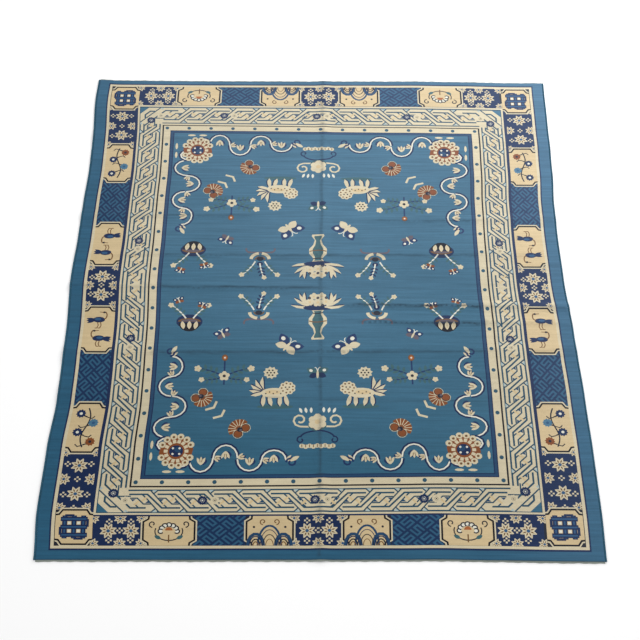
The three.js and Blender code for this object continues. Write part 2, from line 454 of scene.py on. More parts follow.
# The running fret: dark bars on cream. Its Z bars cross at 45 degrees from the field's side to the outer
# side at each boundary, and each unit between two boundaries holds a small key. Both are their own half turn.
FRET_PITCH = 125
FRET_HALF, FRET_EDGE = 35, 57          # the level bars and the strip's edges, from its middle
FRET_BAR, FRET_SLANT = 8.5, 6.5        # widths of its level and slanting bars
END_BOUNDS = [-103 - 128 * k for k in range(6, -1, -1)]
SIDE_BOUNDS = [-86 - 118 * k for k in range(10)]


def fret_turn(pen, before, after):
    """A boundary: one Z bar and the slanting lines beside it. before and after are the units' lengths."""
    high, edge = FRET_HALF, FRET_EDGE
    pen.line([(-0.92 * before, -high), (-high, -high), (high, high), (0.92 * after, high)], FRET_BAR, "fret")
    for turn in (0, 180):
        half = pen.at(0, 0, turn)
        half.line([(-24, -edge), (edge - 14, 20)], FRET_SLANT, "fret")
        half.line([(12, -edge), (-6, -edge + 18)], FRET_SLANT, "fret")
        half.fill([(-16, -edge), (8, -edge), (-4, -edge + 12)], "sky_pale")


def fret_key(pen, room):
    """The inside of a unit, between two boundaries: a smaller Z with a hook on each side."""
    shift = (room - FRET_PITCH) / 2
    for turn in (0, 180):
        half = pen.at(0, 0, turn)
        half.fill([(-12, -4), (4, -4), (20, -20), (32, -20), (12, 4), (-4, 4)], "tan")
        half.line([(-46 - shift, -15), (-15, -15), (15, 15)], FRET_SLANT, "fret")
        half.line([(-20, -36), (4, -36), (20, -20)], FRET_SLANT, "fret")
        half.fill([(-44 - shift, -10), (-22, -10), (-33 - shift, 2)], "deep")


def fret_run(pen, bounds, last):
    """A strip from its corner to the mirror line, through each boundary. pen's x runs towards the corner."""
    edges = [last] + list(bounds)
    for k, here in enumerate(edges[1:-1], start=1):
        fret_turn(pen.at(here, 0), abs(edges[k + 1] - here), abs(here - edges[k - 1]))
    for a, b in zip(edges[1:-1], edges[2:]):
        fret_key(pen.at((a + b) / 2, 0), abs(a - b))


def fret():
    for pen in quarters(CROSS_MIRROR, END_MIRROR):
        strip = Pen(pen.origin + (0, -1181) @ pen.axes, pen.axes[0], -pen.axes[1])
        strip = strip.within(-1000, -57, CROSS_MIRROR, 57)
        fret_run(strip, END_BOUNDS[::-1], 93)
        strip.line([(-92, -35), (0, -35)], FRET_BAR, "fret")
        fret_key(strip.at(-54, 0), FRET_PITCH)
    for pen in quarters(0, SIDE_MIRROR):
        strip = Pen(pen.origin + (-935, 0) @ pen.axes, -pen.axes[1], pen.axes[0])
        strip = strip.within(-SIDE_MIRROR, -57, 1235, 57)
        fret_run(strip, [-v for v in SIDE_BOUNDS], -65)
        strip.line([(-30, -35), (70, -35)], FRET_BAR, "fret")
        strip.line([(-18, 35), (58, 35)], FRET_BAR, "fret")
        fret_key(strip.at(30, 0), FRET_PITCH)
    for pen in quarters(0, END_MIRROR):
        fret_corner(pen)


def fret_corner(pen):
    """Where the fret turns: a slanting bar between the strips' outer bars, with keys on both sides."""
    pen.box(-992, -1238, -866, -1112, "cream")
    corner = pen.at(-970, -1216)
    corner.line([(0, 176), (0, 120), (120, 0), (190, 0)], FRET_BAR, "fret")
    corner.line([(-22, 92), (92, -22)], FRET_SLANT, "fret")
    corner.line([(6, 60), (6, 34), (34, 6), (60, 6)], 9, "fret")
    corner.line([(60, 118), (60, 60), (118, 60)], FRET_SLANT, "fret")
    corner.fill([(-22, 26), (-22, -22), (26, -22)], "blue")
    for turned, flip in ((0, 1), (-90, -1)):
        corner.at(0, 0, turned, flip=flip).fill([(92, -20), (112, -20), (102, -8)], "sky_pale")
    small_star(pen, -930, -1140, 25, "navy", "pale")
    small_star(pen, -875, -1177, 22, "cream", "ink")


def borders():
    for dye, side, far, near in BANDS:
        u, top, bottom = HALF_WIDTH - side, HALF_LENGTH - far, near - HALF_LENGTH
        Pen().box(-u, bottom, u, top, dye)
    sheet = Pen()
    for k in range(DOTS_ALONG):
        v = DOT_FAR - k * (DOT_FAR + DOT_NEAR) / (DOTS_ALONG - 1)
        for side in (-1, 1):
            sheet.disc(side * DOT_SIDE, v, 10.5, 11, "teal")
    for k in range(1, DOTS_ACROSS - 1):
        u = -DOT_SIDE + k * 2 * DOT_SIDE / (DOTS_ACROSS - 1)
        for v in (DOT_FAR, -DOT_NEAR):
            sheet.disc(u, v, 10.5, 11, "teal")
    fret()
    for side in (-1, 1):
        for v in (309, -297):
            small_star(sheet, side * 935, v, 24, "navy", "pale")
            small_star(sheet, side * 935, v - 54, 22, "cream", "ink")
    for u, v in FRET_STARS:
        small_star(sheet, u - STAR_APART, v, 24, "navy", "pale")
        small_star(sheet, u + STAR_APART, v, 22, "cream", "ink")
    side_panels()
    end_panels()
    for pen in quarters(0, END_MIRROR):
        knot_corner(pen)


def flower(pen, x, y, r, rim, eye, lobes=10):
    pen.disc(x, y, r, r, rim, lobes * 2, 0.22)
    pen.disc(x, y, 0.32 * r, 0.32 * r, eye, 6)


def side_panels():
    for pen in quarters(0, SIDE_MIRROR):
        mid = pen.at(-PANEL_MIDDLE, SIDE_MIRROR)
        band = mid.within(-PANEL_HALF, -1245, PANEL_HALF, 0)
        band.box(-PANEL_HALF, -133, PANEL_HALF, 0, "navy")
        star(band, 0, -56, 41)
        for x in (-64, 64):
            star(band, x, 0, 30)
            diamond(band, x * 0.8, -52)
            star(band, x, -118, 24)
        diamond(band, 0, 0)
        band.box(-PANEL_HALF, -1245, PANEL_HALF, -949, "navy")
        for y in (-1019, -1164):
            star(band, 0, y, 38)
        for x in (-52, 52):
            star(band, x * 1.15, -1089, 30)
            star(band, x * 1.15, -1236, 28)
            for y in (-1011, -1168):
                diamond(band, x, y)
            star(band, x * 1.3, -952, 22)
        diamond(band, 0, -1089)
        diamond(band, 0, -1236)
        lattice_panel(mid.at(0, -545, 90), 156, PANEL_HALF)
        cartouche(mid.at(0, -267, 90), 134, PANEL_HALF)
        cartouche(mid.at(0, -819, 90), 130, PANEL_HALF)
        crane(mid.at(-2, -208))
        crane(mid.at(4, -318, flip=-1))
        blossoms(mid.at(0, -819))


def crane(pen):
    """A standing crane with a folded wing, a curved neck and thin legs."""
    for k in range(3):
        leaf(pen, -14, 0, 82 + 16 * k, 48, 15, "navy")
    pen.disc(0, 0, 30, 17, "navy", 14)
    pen.disc(-5, 3, 16, 8, "steel", 10)
    pen.line(arc(24, 26, 14, 22, -90, 60, 6) + [(24, 44)], 6, "brown")
    pen.disc(24, 44, 7, 6, "ink", 8)
    pen.line([(22, 44), (2, 46)], 4, "brown")
    for x in (-6, 8):
        pen.line([(x, -14), (x + 4, -34), (x - 2, -50), (x - 12, -50)], 4.5, "brown")


def blossoms(pen):
    """A winding branch with four round flowers."""
    pen.line([(14 * math.sin(math.radians(1.7 * y)), y) for y in range(-105, 106, 15)], 6.5, "ink")
    for k, (rim, eye) in enumerate((("navy", "pale"), ("sky", "steel"), ("navy", "pale"), ("rust", "ink"))):
        y, way = 75 - 50 * k, 1 if k % 2 else -1
        pen.line([(0, y - 18), (way * 20, y - 10), (way * 30, y)], 6.5, "ink")
        pen.line([(0, y - 20), (-way * 22, y - 26), (-way * 34, y - 14)], 5, "ink")
        flower(pen, way * 32, y, 24, rim, eye)


def end_panels():
    for pen in quarters(CROSS_MIRROR, END_MIRROR):
        mid = pen.at(CROSS_MIRROR, -1332)
        band = mid.within(-1010, -END_HALF, 0, END_HALF)
        band.box(-108, -END_HALF, 0, END_HALF, "navy")
        star(band, -50, 0, 38)
        diamond(band, -2, 0)
        for y in (-1, 1):
            star(band, 0, 62 * y, 28)
            star(band, -108, 62 * y, 28)
            diamond(band, -50, 50 * y)
            star(band, -1005, 62 * y, 26)
        band.box(-1000, -END_HALF, -790, END_HALF, "navy")
        star(band, -933, 0, 38)
        star(band, -835, 0, 38)
        diamond(band, -884, 2)
        for y in (-1, 1):
            star(band, -883, 62 * y, 28)
            star(band, -998, 62 * y, 26)
            star(band, -790, 62 * y, 24)
            diamond(band, -930, 47 * y)
            diamond(band, -836, 47 * y)
        lattice_panel(mid.at(-441, 0), 116, END_HALF)
        cartouche(mid.at(-216.5, 0), 103.5, END_HALF)
        cartouche(mid.at(-666, 0), 114.5, END_HALF)
        rocks(mid.at(-217, 0))
        lotus_panel(mid.at(-666, 4))


def rocks(pen):
    """Rocks and waves, alike on both sides: arches one inside the other."""
    for flip in (1, -1):
        half = pen.at(0, 0, flip=flip)
        for reach, width, dye in ((58, 14, "deep"), (46, 5, "navy"), (32, 6, "ink"), (19, 5, "brown")):
            half.line(arc(62, -74, 0.62 * reach, reach, 0, 180, 8), width, dye)
            half.line(arc(0, -74, 0.9 * reach, 1.7 * reach, 0, 90, 7), 0.7 * width, dye)
        half.line(coil(30, 44, 15, -90, 360), 5, "brown")
        half.disc(70, 18, 6, 6, "ink", 6)


def lotus_panel(pen):
    """A lotus with its seed head, two leaves and bending stems."""
    for flip in (1, -1):
        half = pen.at(0, 0, flip=flip)
        half.line(arc(0, -6, 62, 46, -90, 20, 8), 5.5, "ink")
        half.line(coil(74, 30, 17, -90, 330), 5.5, "ink")
        leaf(half, 34, -44, -62, 34, 18, "leaf")
    pen.line([(0, -62), (0, -20)], 6, "brown")
    for k in range(7):
        x, y = arc(0, -6, 36, 32, 30 * k, 30 * k, 1)[0]
        pen.disc(x, y, 15, 14, "ink", 10)
        pen.disc(x, y, 9, 8, "pale", 8)
    pen.disc(0, -4, 30, 20, "tan", 12)
    pen.fill(arc(0, -2, 17, 17, 0, 180, 7), "orange")


KNOT_PITCH, KNOT_BAND = 40, 22


def knot_corner(pen):
    """The corner panel with an endless knot: crossing bands, joined by loops at their ends."""
    panel = pen.at(-1086, -1312, 90)
    cartouche(panel, 86, 80)
    reach, half = 1.45 * KNOT_PITCH, KNOT_BAND / 2
    for turned in (0, 90):
        way = panel.at(0, 0, turned)
        for k in (-1, 0, 1):
            y = k * KNOT_PITCH
            way.box(-reach, y - half, reach, y + half, "navy")
            way.box(-reach + 4, y - 3.5, reach - 4, y + 3.5, "steel")
        for x in (-reach, reach):
            y = KNOT_PITCH / 2 if x > 0 else -KNOT_PITCH / 2
            way.line([(x, y - KNOT_PITCH / 2), (x, y + KNOT_PITCH / 2)], 12, "navy")
    for i in (-0.5, 0.5):
        for j in (-0.5, 0.5):
            x, y = i * KNOT_PITCH, j * KNOT_PITCH
            panel.box(x - 6, y - 6, x + 6, y + 6, "pale")


# ------------------------------------------------------------------ the field
# Its motifs are plain traditional forms in mm, each about its own middle, with their feet to the nearer end.
FIELD_MIDDLE = (-11, 27)


def tongue(pen, x, y, turn, length, width, curl=0.25):
    """A flame of fur or leaf that curls to its right, with navy behind it."""
    blade = pen.at(x, y, turn)
    path = [(curl * length * t * t, length * t) for t in (0, 0.35, 0.7, 1)]
    blade.line([(a - 6, b) for a, b in path], width, "navy", ends=(0.5, 0.1))
    blade.line(path, width, "cream", ends=(0.5, 0.1))


def vine(pen, points, outside):
    """A pale stem with its navy shadow. outside is 1 where the shadow is on the left of the way it runs."""
    pen.line(points, 19, "navy", 3 * outside)
    pen.line(points, 7.5, "pale")


def bud(pen, x, y, turn, length=44, width=36):
    """A leaf of three cream teeth with a dark leaf behind it."""
    leaf(pen, x + 0.3 * width, y, turn, 0.9 * length, width, "shade")
    for tooth in (-26, 0, 26):
        leaf(pen, x, y, turn + tooth, length, 0.42 * width, "cream")
    for vein in (-11, 11):
        pen.at(x, y, turn + vein).line([(0, 0.35 * length), (0, 0.75 * length)], 3, "brown")


def lotus(pen):
    """The great corner flower: rust petals in a scalloped cream rim round a navy heart."""
    pen.disc(0, 0, 80, 84, "rust", 20, 0.06)
    for k in range(14):
        turn = 2 * math.pi * k / 14
        x, y = math.cos(turn), math.sin(turn)
        if k % 7:
            pen.disc(74 * x, 78 * y, 17, 17, "cream", 8)
            pen.disc(72 * x, 76 * y, 7, 7, "brown", 6)
        pen.at(48 * x, 51 * y, 360 * k / 14).box(-9, -8, 9, 8, "cream")
    pen.disc(0, 0, 33, 31, "navy", 12)
    pen.disc(8, 8, 17, 15, "deep", 10)
    for k in range(4):
        pen.disc(*arc(0, 0, 22, 21, 45 + 90 * k, 45 + 90 * k, 1)[0], 6, 6, "pale", 6)


def palmette(pen):
    """A flower with two round rust petals, and a striped fan turned away from them."""
    pen.fill([(8, 8)] + arc(0, 0, 54, 54, 145, 313, 15), "brown")
    for k in range(8):
        ray = pen.at(0, 0, 63 + 21 * k)
        ray.fill([(-4, 11), (4, 11), (10, 42), (5, 52), (-5, 52), (-10, 42)], "rust")
        if k:
            pen.at(0, 0, 52.5 + 21 * k).line([(0, 18), (0, 54)], 3.2, "cream")
    for x, y in ((28, -6), (-6, 26)):
        pen.disc(x, y, 25, 25, "cream", 14, 0.05)
        pen.disc(x, y, 22, 22, "ink", 12)
        pen.disc(x, y, 19, 19, "rust", 12)
    pen.disc(2, 3, 14, 13, "ink", 8)
    pen.disc(6, 6, 7, 7, "mauve", 6)


VINE_LOOPS = 4
VINE_STEP, VINE_REACH, VINE_START = 112, 76, 250


def corner_vines(pen):
    """A corner's lotus, and from it one looping vine along each side of the field, with its leaves."""
    for turned, flip in ((0, 1), (-90, -1)):
        way = pen.at(0, 0, turned, flip=flip)
        for k in range(VINE_LOOPS):
            x, up = VINE_START + k * VINE_STEP, k % 2
            y, reach = 92 - 6 * k, VINE_REACH - 8 * k
            loop = arc(x, y, VINE_STEP / 2, reach, *((180, 0) if up else (180, 360)), 9)
            vine(way, loop, 1 if up else -1)
            bud(way, x, y + (reach if up else -reach) * 0.55, 180 if up else 0)
            bud(way, x + VINE_STEP / 2, y, -70 if up else -110, 36, 28)
        end = VINE_START + (VINE_LOOPS - 0.5) * VINE_STEP
        way.line(coil(end + 26, 62, 26, 180, -420), 9, "shade")
        leaf(way, end + 20, 70, -60, 48, 20, "cream")
        vine(way, arc(VINE_START - 90, 92, 34, 50, 200, 360, 6), -1)
        for k in range(2):
            way.disc(96 + 62 * k, 17, 22, 7, "cream", 8)
    palmette(pen.at(420, 240, 180, flip=-1))
    palmette(pen.at(228, 414, 0, flip=-1))
    for x, y in ((330, 300), (290, 345)):
        pen.line([(x - 40, y), (x, y + 12), (x + 12, y + 45)], 11, "cream")
    lotus(pen.at(132, 124))


def lion(pen):
    """A lion-dog at play: a maned head, a spotted body, a tail of flames and a ball."""
    pen.disc(4, -74, 88, 12, "leaf", 16)
    for x, turn in ((-44, 170), (-20, 186), (34, 172), (58, 190)):
        tongue(pen, x, -14, turn, 58, 20, 0.1)
    for k in range(5):
        tongue(pen, 62, 6, -20 - 26 * k, 84 - 6 * k, 17, -0.3)
    pen.disc(8, 2, 66, 29, "cream", 16)
    pen.disc(16, 6, 38, 13, "tan", 12)
    for k in range(5):
        pen.disc(-22 + 18 * k, -2 + 9 * (k % 2), 4, 4, "ink", 6)
    head = pen.at(-54, 30)
    for k in range(9):
        spot = arc(0, 0, 28, 27, 40 * k, 40 * k, 1)[0]
        head.disc(*spot, 13, 13, "cream", 8)
        head.disc(*spot, 5, 5, "brown", 6)
    head.disc(0, 0, 24, 22, "cream", 12)
    for x in (-9, 9):
        head.disc(x, 5, 4.5, 4.5, "ink", 6)
    head.fill([(-8, -4), (8, -4), (0, -13)], "brown")
    ball = pen.at(28, 118)
    ball.disc(0, 0, 38, 36, "cream", 20, 0.22)
    for k in range(6):
        ball.disc(*arc(0, 0, 17, 16, 60 * k, 60 * k, 1)[0], 5, 5, "black", 6)
    ball.disc(0, 0, 5, 5, "black", 6)


def insect(pen, reach, upper, lower):
    """A butterfly seen from above, with its wings in two dyes."""
    for flip in (1, -1):
        half = pen.at(0, 0, flip=flip)
        leaf(half, 0, 0, -58, reach, 0.62 * reach, upper)
        leaf(half, 0, 0, -112, 0.72 * reach, 0.5 * reach, lower)
        half.at(0, 0, -58).disc(0, 0.62 * reach, 0.13 * reach, 0.15 * reach, "pale", 8)
        half.line(arc(0.2 * reach, 0.1 * reach, 0.2 * reach, 0.5 * reach, 180, 80, 5), 4, "pale")
    pen.disc(0, -0.05 * reach, 0.1 * reach, 0.38 * reach, "cream", 8)


def butterfly(pen):
    insect(pen, 62, "leaf", "navy")


def moth(pen):
    insect(pen.at(0, 0, 35), 84, "shade", "cream")


def small_moth(pen):
    insect(pen.at(0, 0, -25), 52, "shade", "mauve")


def sprig(pen, length, bend, dye="pale", leaf_dye="leaf", tip="cream"):
    """A twig that bends to its right, with leaves on both sides in turn and a blossom at its tip."""
    pen.line([(bend * t * t, length * t) for t in np.linspace(0, 1, 7)], 7.5, dye)
    for k, t in enumerate((0.3, 0.5, 0.7)):
        for way in (-1, 1):
            leaf(pen, bend * t * t, length * t, way * (62 - 8 * k), 0.26 * length, 0.12 * length, leaf_dye)
    blossom(pen, bend, length, 0.14 * length, tip)


def scroll_group(pen):
    """Right half of the group at the end: a blossom between two scrolls, over a cloud and a comb."""
    pen.line(coil(82, 24, 36, -90, 400), 9, "cream")
    pen.line([(14, -14), (82, -12)], 9, "cream")
    pen.disc(0, -6, 44, 32, "leaf", 16)
    pen.disc(0, -10, 30, 22, "mauve", 12)
    blossom(pen, 0, 12, 44, "cream", "tan", 6)
    pen.line(arc(0, -70, 78, 34, 0, 90, 8), 8, "navy")
    pen.line(coil(78, -84, 20, 90, -330), 7, "navy")
    for k in range(5):
        pen.disc(18 * k, -116 - 4 * (k % 2), 13, 12, "cream", 8)
        pen.line([(18 * k, -108), (18 * k, -124)], 4, "brown")
    for k in range(3):
        leaf(pen, 30 + 22 * k, 62, -12 * k, 30, 14, "pale")


def vase(pen):
    """Right half of a vase of flowers."""
    half = [(0, -140), (30, -140), (33, -130), (17, -104), (24, -74), (46, -44), (45, -12), (27, 12),
            (24, 28), (34, 40), (0, 40)]
    pen.fill(half, "cream")
    pen.fill([(0.6 * x, 0.9 * y - 4) for x, y in half], "leaf")
    pen.line([(44, -28), (20, -34), (0, -36)], 6, "brown")
    pen.line([(26, 20), (0, 16)], 6, "ink")
    pen.disc(0, 52, 74, 17, "navy", 14)
    for k in range(4):
        tongue(pen, 34 + 9 * k, 56 + 7 * k, -100 + 26 * k, 96 - 10 * k, 15, -0.3)
    for x, y, r in ((0, 84, 26), (40, 88, 24), (20, 122, 22)):
        blossom(pen, x, y, r, "cream", "tan")
    for x, y in ((24, 66), (42, 112), (0, 112)):
        pen.disc(x, y, 8, 8, "ink", 8)
        pen.disc(x, y, 4, 4, "mauve", 6)


def vase_branch(pen):
    """A pot of sprigs on a low stand."""
    for flip in (1, -1):
        half = pen.at(0, 0, flip=flip)
        half.line([(0, -48), (52, -48)] + arc(52, -70, 22, 22, 90, -20, 4), 9, "mauve")
        half.line(arc(0, -6, 46, 36, -80, 0, 6), 17, "cream")
        half.line(arc(0, -2, 24, 18, -80, 0, 5), 7, "brown")
        sprig(half.at(24, 8, -24), 104, 26)
    pen.disc(0, -8, 18, 14, "ink", 10)
    pen.disc(0, 24, 16, 14, "navy", 10)
    sprig(pen.at(0, 20, 6), 92, -14, "pale", "navy")


def branch(pen):
    """A navy branch with grey leaves, cream blossoms and a small orange flower."""
    for flip in (1, -1):
        half = pen.at(0, -20, flip=flip)
        sprig(half.at(6, 0, -58), 128, 30, "shade")
        sprig(half.at(4, -6, -112), 104, -26, "shade")
    pen.line([(0, -70), (0, 78)], 8, "shade")
    blossom(pen, 0, -20, 27, "cream", "ink")
    pen.disc(0, 82, 16, 18, "brown", 10)
    pen.disc(0, 82, 11, 12, "orange", 8)
    pen.disc(0, 82, 5, 5, "pale", 6)


def bowl(pen):
    """A bowl of leaves with sprays and two little moths."""
    pen.disc(0, -34, 66, 44, "navy", 16)
    pen.fill(arc(0, -40, 54, 52, 180, 360, 11), "black")
    pen.fill(arc(0, -34, 58, 22, 0, 180, 9), "brown")
    pen.fill(arc(0, -32, 44, 13, 0, 180, 7), "mauve")
    for x in (-28, 0, 28):
        leaf(pen, x, -78, -0.35 * x, 48, 22, "cream", "tan")
    for flip in (1, -1):
        sprig(pen.at(0, -14, flip=flip).at(18, 0, -32), 108, 22)
    insect(pen.at(-62, 62, 20), 34, "navy", "rust")
    insect(pen.at(54, 92, -20), 34, "navy", "rust")


# Each motif, how far out it lies from the field's middle, and how far along.
MOTIFS = (
    (lion, 200, 640), (butterfly, 0, 530), (moth, 150, 370), (scroll_group, 0, 810), (vase, 0, 190),
    (vase_branch, 295, 160), (branch, 455, 520), (small_moth, 470, 300), (bowl, 640, 190),
)


def field():
    for pen, side, end in mirrored(FIELD_MIDDLE):
        corner = (side * FIELD_SIDE, FIELD_FAR if end > 0 else -FIELD_NEAR)
        corner_vines(Pen(corner, (-side, 0), (0, -end)))
        for motif, out, away in MOTIFS:
            motif(pen.at(out, away, 180, flip=-1))


# ------------------------------------------------------------------ one triangulation of the whole design
GRID = 26                      # of the plain points under the design
LONGEST_EDGE = 30              # an outline's edges are parted to bend with the cloth
RIM = (0, 1.0, 2.5, 4.5, 8.0)  # rows of points in from the edge, where the pile rounds down
SAME_POINT = 0.01              # points closer than this are one


def parted(points):
    """An outline with its long edges in pieces."""
    ring = []
    for a, b in zip(points, points[1:] + points[:1]):
        count = max(1, math.ceil(math.dist(a, b) / LONGEST_EDGE))
        ring += [(a[0] + (b[0] - a[0]) * k / count, a[1] + (b[1] - a[1]) * k / count) for k in range(count)]
    return ring


def proper(points):
    """True where no edge of a four-sided outline crosses another."""
    if len(points) != 4:
        return True
    a, b, c, d = points
    def turn(p, q, r):
        return (q[0] - p[0]) * (r[1] - p[1]) - (q[1] - p[1]) * (r[0] - p[0])
    def cross(p, q, r, s):
        return turn(p, q, r) * turn(p, q, s) < 0 and turn(r, s, p) * turn(r, s, q) < 0
    return not (cross(a, b, c, d) or cross(b, c, d, a))


def triangulate():
    """Points (mm), triangles and each triangle's dye, from every outline drawn."""
    points, faces, dyes = [], [], []
    for outline, dye in drawn:
        if not proper(outline):
            continue
        ring = parted(outline)
        faces.append(list(range(len(points), len(points) + len(ring))))
        points += ring
        dyes.append(dye)
    inner_u, inner_v = HALF_WIDTH - RIM[-1] - 6, HALF_LENGTH - RIM[-1] - 6
    across = np.linspace(-inner_u, inner_u, round(2 * inner_u / GRID) + 1)
    down = np.linspace(-inner_v, inner_v, round(2 * inner_v / GRID) + 1)
    for k, v in enumerate(down):
        points += [(u, v) for u in (across if k % 2 else across[:-1] + GRID / 2)]
    for ridge in RIDGES:
        low, high = max(ridge[3], -inner_v), min(ridge[4], inner_v)
        if ridge[0] == "across":
            low, high = max(ridge[3], -inner_u), min(ridge[4], inner_u)
        for run in np.linspace(low, high, round((high - low) / GRID) + 1):
            for share in RIDGE_ROWS:
                side = ridge[1] + ridge[2] * run / 1000 + share * ridge[5]
                points.append((side, run) if ridge[0] == "along" else (run, side))
    edges = []
    for inset in RIM[1:]:
        u, v = HALF_WIDTH - inset, HALF_LENGTH - inset
        ring = parted([(-u, -v), (u, -v), (u, v), (-u, v)])
        first = len(points)
        points += ring
        edges += [(first + k, first + (k + 1) % len(ring)) for k in range(len(ring))]
    mesh = delaunay_2d_cdt([Vector(p) for p in points], edges, faces, 1, SAME_POINT, True)
    return np.array([tuple(p) for p in mesh[0]]), np.array(mesh[2]), [dyes[max(own)] for own in mesh[5]]


# ------------------------------------------------------------------ meshes
def mesh_object(name, points, faces, material=None):
    mesh = bpy.data.meshes.new(name)
    mesh.from_pydata(np.asarray(points).tolist(), [], [list(map(int, f)) for f in faces])
    mesh.update()
    if material:
        mesh.materials.append(material)
    piece = bpy.data.objects.new(name, mesh)
    bpy.context.scene.collection.objects.link(piece)
    return piece


def outer_loop(faces, points):
    """The triangulation's boundary edges, each as it runs in its triangle."""
    pairs = np.concatenate([faces[:, [0, 1]], faces[:, [1, 2]], faces[:, [2, 0]]])
    size = len(points)
    keys, back = pairs[:, 0] * size + pairs[:, 1], pairs[:, 1] * size + pairs[:, 0]
    return pairs[~np.isin(keys, back)]


def corner_colours(mesh, rows):
    """Gives each face its own colour, with the streak strength as alpha."""
    layer = mesh.color_attributes.new("yarn", "FLOAT_COLOR", "CORNER")
    sides = np.empty(len(mesh.polygons), np.int32)
    mesh.polygons.foreach_get("loop_total", sides)
    layer.data.foreach_set("color", np.repeat(np.array(rows, np.float32), sides, axis=0).ravel())


def point_values(mesh, name, values):
    mesh.attributes.new(name, "FLOAT", "POINT").data.foreach_set("value", np.asarray(values, np.float32))


def plan_map(mesh, name="OFBake"):
    """A map seen from above that fills the square, for the piece's picture."""
    flat = np.empty(len(mesh.vertices) * 3, np.float32)
    mesh.vertices.foreach_get("co", flat)
    flat = flat.reshape(-1, 3)[:, :2]
    low, high = flat.min(axis=0), flat.max(axis=0)
    corners = np.empty(len(mesh.loops), np.int32)
    mesh.loops.foreach_get("vertex_index", corners)
    mesh.uv_layers.new(name=name).data.foreach_set("uv", ((flat - low) / (high - low))[corners].ravel())


def dye_rows(numbers):
    table = np.array([linear(code) + (streak,) for code, streak in DYES.values()])
    return table[numbers]


SKIRT = (0.55, 0.0)            # heights of the pile's side rows, as shares of its edge
BACKING = 1.1                  # thickness of the knotted ground under the pile (mm)
SKIRT_DYE = "edge"


def make_rug():
    """The pile and the back, from the same triangles."""
    points, faces, dyes = triangulate()
    u, v = wander(points[:, 0], points[:, 1])
    x, y = place(u, v, CORD_WIDTH + GAP)
    low = lift(x, y)
    from_side, from_end = HALF_WIDTH - np.abs(points[:, 0]), HALF_LENGTH - np.abs(points[:, 1])
    inset = np.clip(np.minimum(from_side, from_end), 0, None)
    round_off = 1 - np.sqrt(np.clip(1 - (1 - np.clip(inset / PILE_SHOULDER, 0, 1)) ** 2, 0, 1))
    top = low + PILE_THICKNESS - SHOULDER_DROP * round_off
    edge = outer_loop(faces, points)
    count = len(points)

    rim = np.unique(edge)
    slot_of = np.zeros(count, int)
    slot_of[rim] = np.arange(len(rim))
    rows, skirt = [to_metres(x, y, top)], []
    above = np.arange(count)
    for k, share in enumerate(SKIRT):
        height = low[rim] + BACKING + GAP + share * (top[rim] - low[rim] - BACKING - GAP)
        rows.append(to_metres(x[rim], y[rim], height))
        below = count + k * len(rim) + slot_of
        start, stop = edge[:, 0], edge[:, 1]
        skirt.append(np.stack([above[start], below[start], below[stop], above[stop]], 1))
        above = below
    skirt = np.concatenate(skirt)
    pile = mesh_object("wool_pile", np.concatenate(rows), faces.tolist() + skirt.tolist())
    colours = dye_rows(dyes + [DYE_NAMES.index(SKIRT_DYE)] * len(skirt))
    corner_colours(pile.data, colours)
    # Painted shade along the creases, for the pile's material.
    crease = painted_crease_shade(x, y)
    point_values(pile.data, "crease", np.concatenate([crease] + [crease[rim]] * len(SKIRT)))
    # Painted light and sheen with real fading, for the pile's material.
    fade_light_sheen = fade_light_and_sheen(points[:, 0], points[:, 1])
    point_values(pile.data, "fade_light_sheen", np.concatenate([fade_light_sheen] + [fade_light_sheen[rim]] * len(SKIRT)))
    plan_map(pile.data)

    back_rows = np.concatenate([to_metres(x, y, low), to_metres(x[rim], y[rim], low[rim] + BACKING)])
    upper = count + slot_of
    side = np.stack([edge[:, 0], edge[:, 1], upper[edge[:, 1]], upper[edge[:, 0]]], 1)[:, ::-1]
    back = mesh_object("knotted_back", back_rows, faces[:, ::-1].tolist() + side.tolist())
    corner_colours(back.data, dye_rows(dyes + [DYE_NAMES.index(SKIRT_DYE)] * len(side)))
    plan_map(back.data)
    return pile, back


OVERCAST_STEP = 1.5            # between rings of the overcast cord
CORD_SIDES = 8


def make_cord(name, side):
    """A long side's cord, bound round with yarn: rings that swell and tighten by turns."""
    count = round(2 * HALF_LENGTH / OVERCAST_STEP)
    y = np.linspace(-HALF_LENGTH, HALF_LENGTH, count + 1)
    v = np.full(count + 1, float(HALF_WIDTH)) * side
    edge_y = y / HALF_LENGTH * np.where(y > 0, along(ENDS, 1, v), along(ENDS, 2, v))
    edge_x = side * (along(SIDES, 2 if side > 0 else 1, edge_y) - CORD_WIDTH)
    low = lift(edge_x, edge_y)
    rng = np.random.default_rng(5)
    swell = np.where(np.arange(count + 1) % 2 == 0, 0.99, 0.86) - 0.03 * rng.random(count + 1)
    reach = 1 / math.cos(math.pi / CORD_SIDES)
    points, faces = [], []
    for k in range(CORD_SIDES):
        turn = (k + 0.5) * 2 * math.pi / CORD_SIDES
        out = CORD_WIDTH / 2 * (1 + swell * reach * math.cos(turn))
        up = CORD_HEIGHT / 2 * (1 + swell * reach * math.sin(turn))
        slant = 0.5 * OVERCAST_STEP * math.sin(turn)
        points.append(to_metres(edge_x + side * out, edge_y + slant, low + up))
    points = np.stack(points, 1).reshape(-1, 3)
    for i in range(count):
        for k in range(CORD_SIDES):
            a, b = i * CORD_SIDES + k, i * CORD_SIDES + (k + 1) % CORD_SIDES
            quad = [a, b, b + CORD_SIDES, a + CORD_SIDES]
            faces.append(quad if side < 0 else quad[::-1])
    first = list(range(CORD_SIDES))
    last = [count * CORD_SIDES + k for k in range(CORD_SIDES)]
    faces += [first[::-1], last] if side < 0 else [first, last[::-1]]
    return mesh_object(name, points, faces)


WARP_PITCH = 5.4
WEB_ROWS = 6
WEB_UNDERSIDE = 0.35           # above the lie of the sheet
WEAVE_HEIGHT = 0.35            # of a pick over a warp


